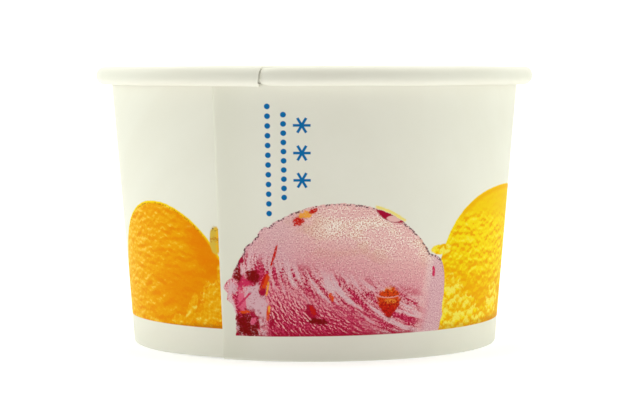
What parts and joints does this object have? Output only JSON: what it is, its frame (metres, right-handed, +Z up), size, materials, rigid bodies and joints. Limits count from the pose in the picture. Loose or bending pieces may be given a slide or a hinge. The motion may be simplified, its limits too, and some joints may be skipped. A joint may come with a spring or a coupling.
{
  "type": "paper ice cream cup",
  "caption": "Small round paper cup for ice cream with a lapped side, a rolled rim, a folded foot round a recessed paper bottom, and a printed band of scoops.",
  "frame": {"origin": "centre of the foot, on the surface that the cup stands on", "axes": "+Z up along the cup's axis, -Y towards the pink scoop in front, with the seam a little to the -X side of it"},
  "size_m": [0.075, 0.075, 0.0474],
  "materials": {
    "side_paper": "white coated cup paper with a soft sheen",
    "bottom_paper": "white coated cup paper, plain",
    "orange_ink": "orange ink printed on the paper",
    "pink_ink": "pink ink printed on the paper",
    "yellow_ink": "yellow ink printed on the paper",
    "crimson_ink": "dark red ink printed on the paper",
    "amber_ink": "darker orange ink printed on the paper",
    "blue_ink": "blue ink printed on the paper"
  },
  "bodies": {
    "root": {"sidewall": "side_paper", "bottom_disc": "bottom_paper", "print_orange": "orange_ink", "print_pink": "pink_ink", "print_yellow": "yellow_ink", "print_crimson": "crimson_ink", "print_amber": "amber_ink", "print_blue": "blue_ink"}
  },
  "joints": []
}
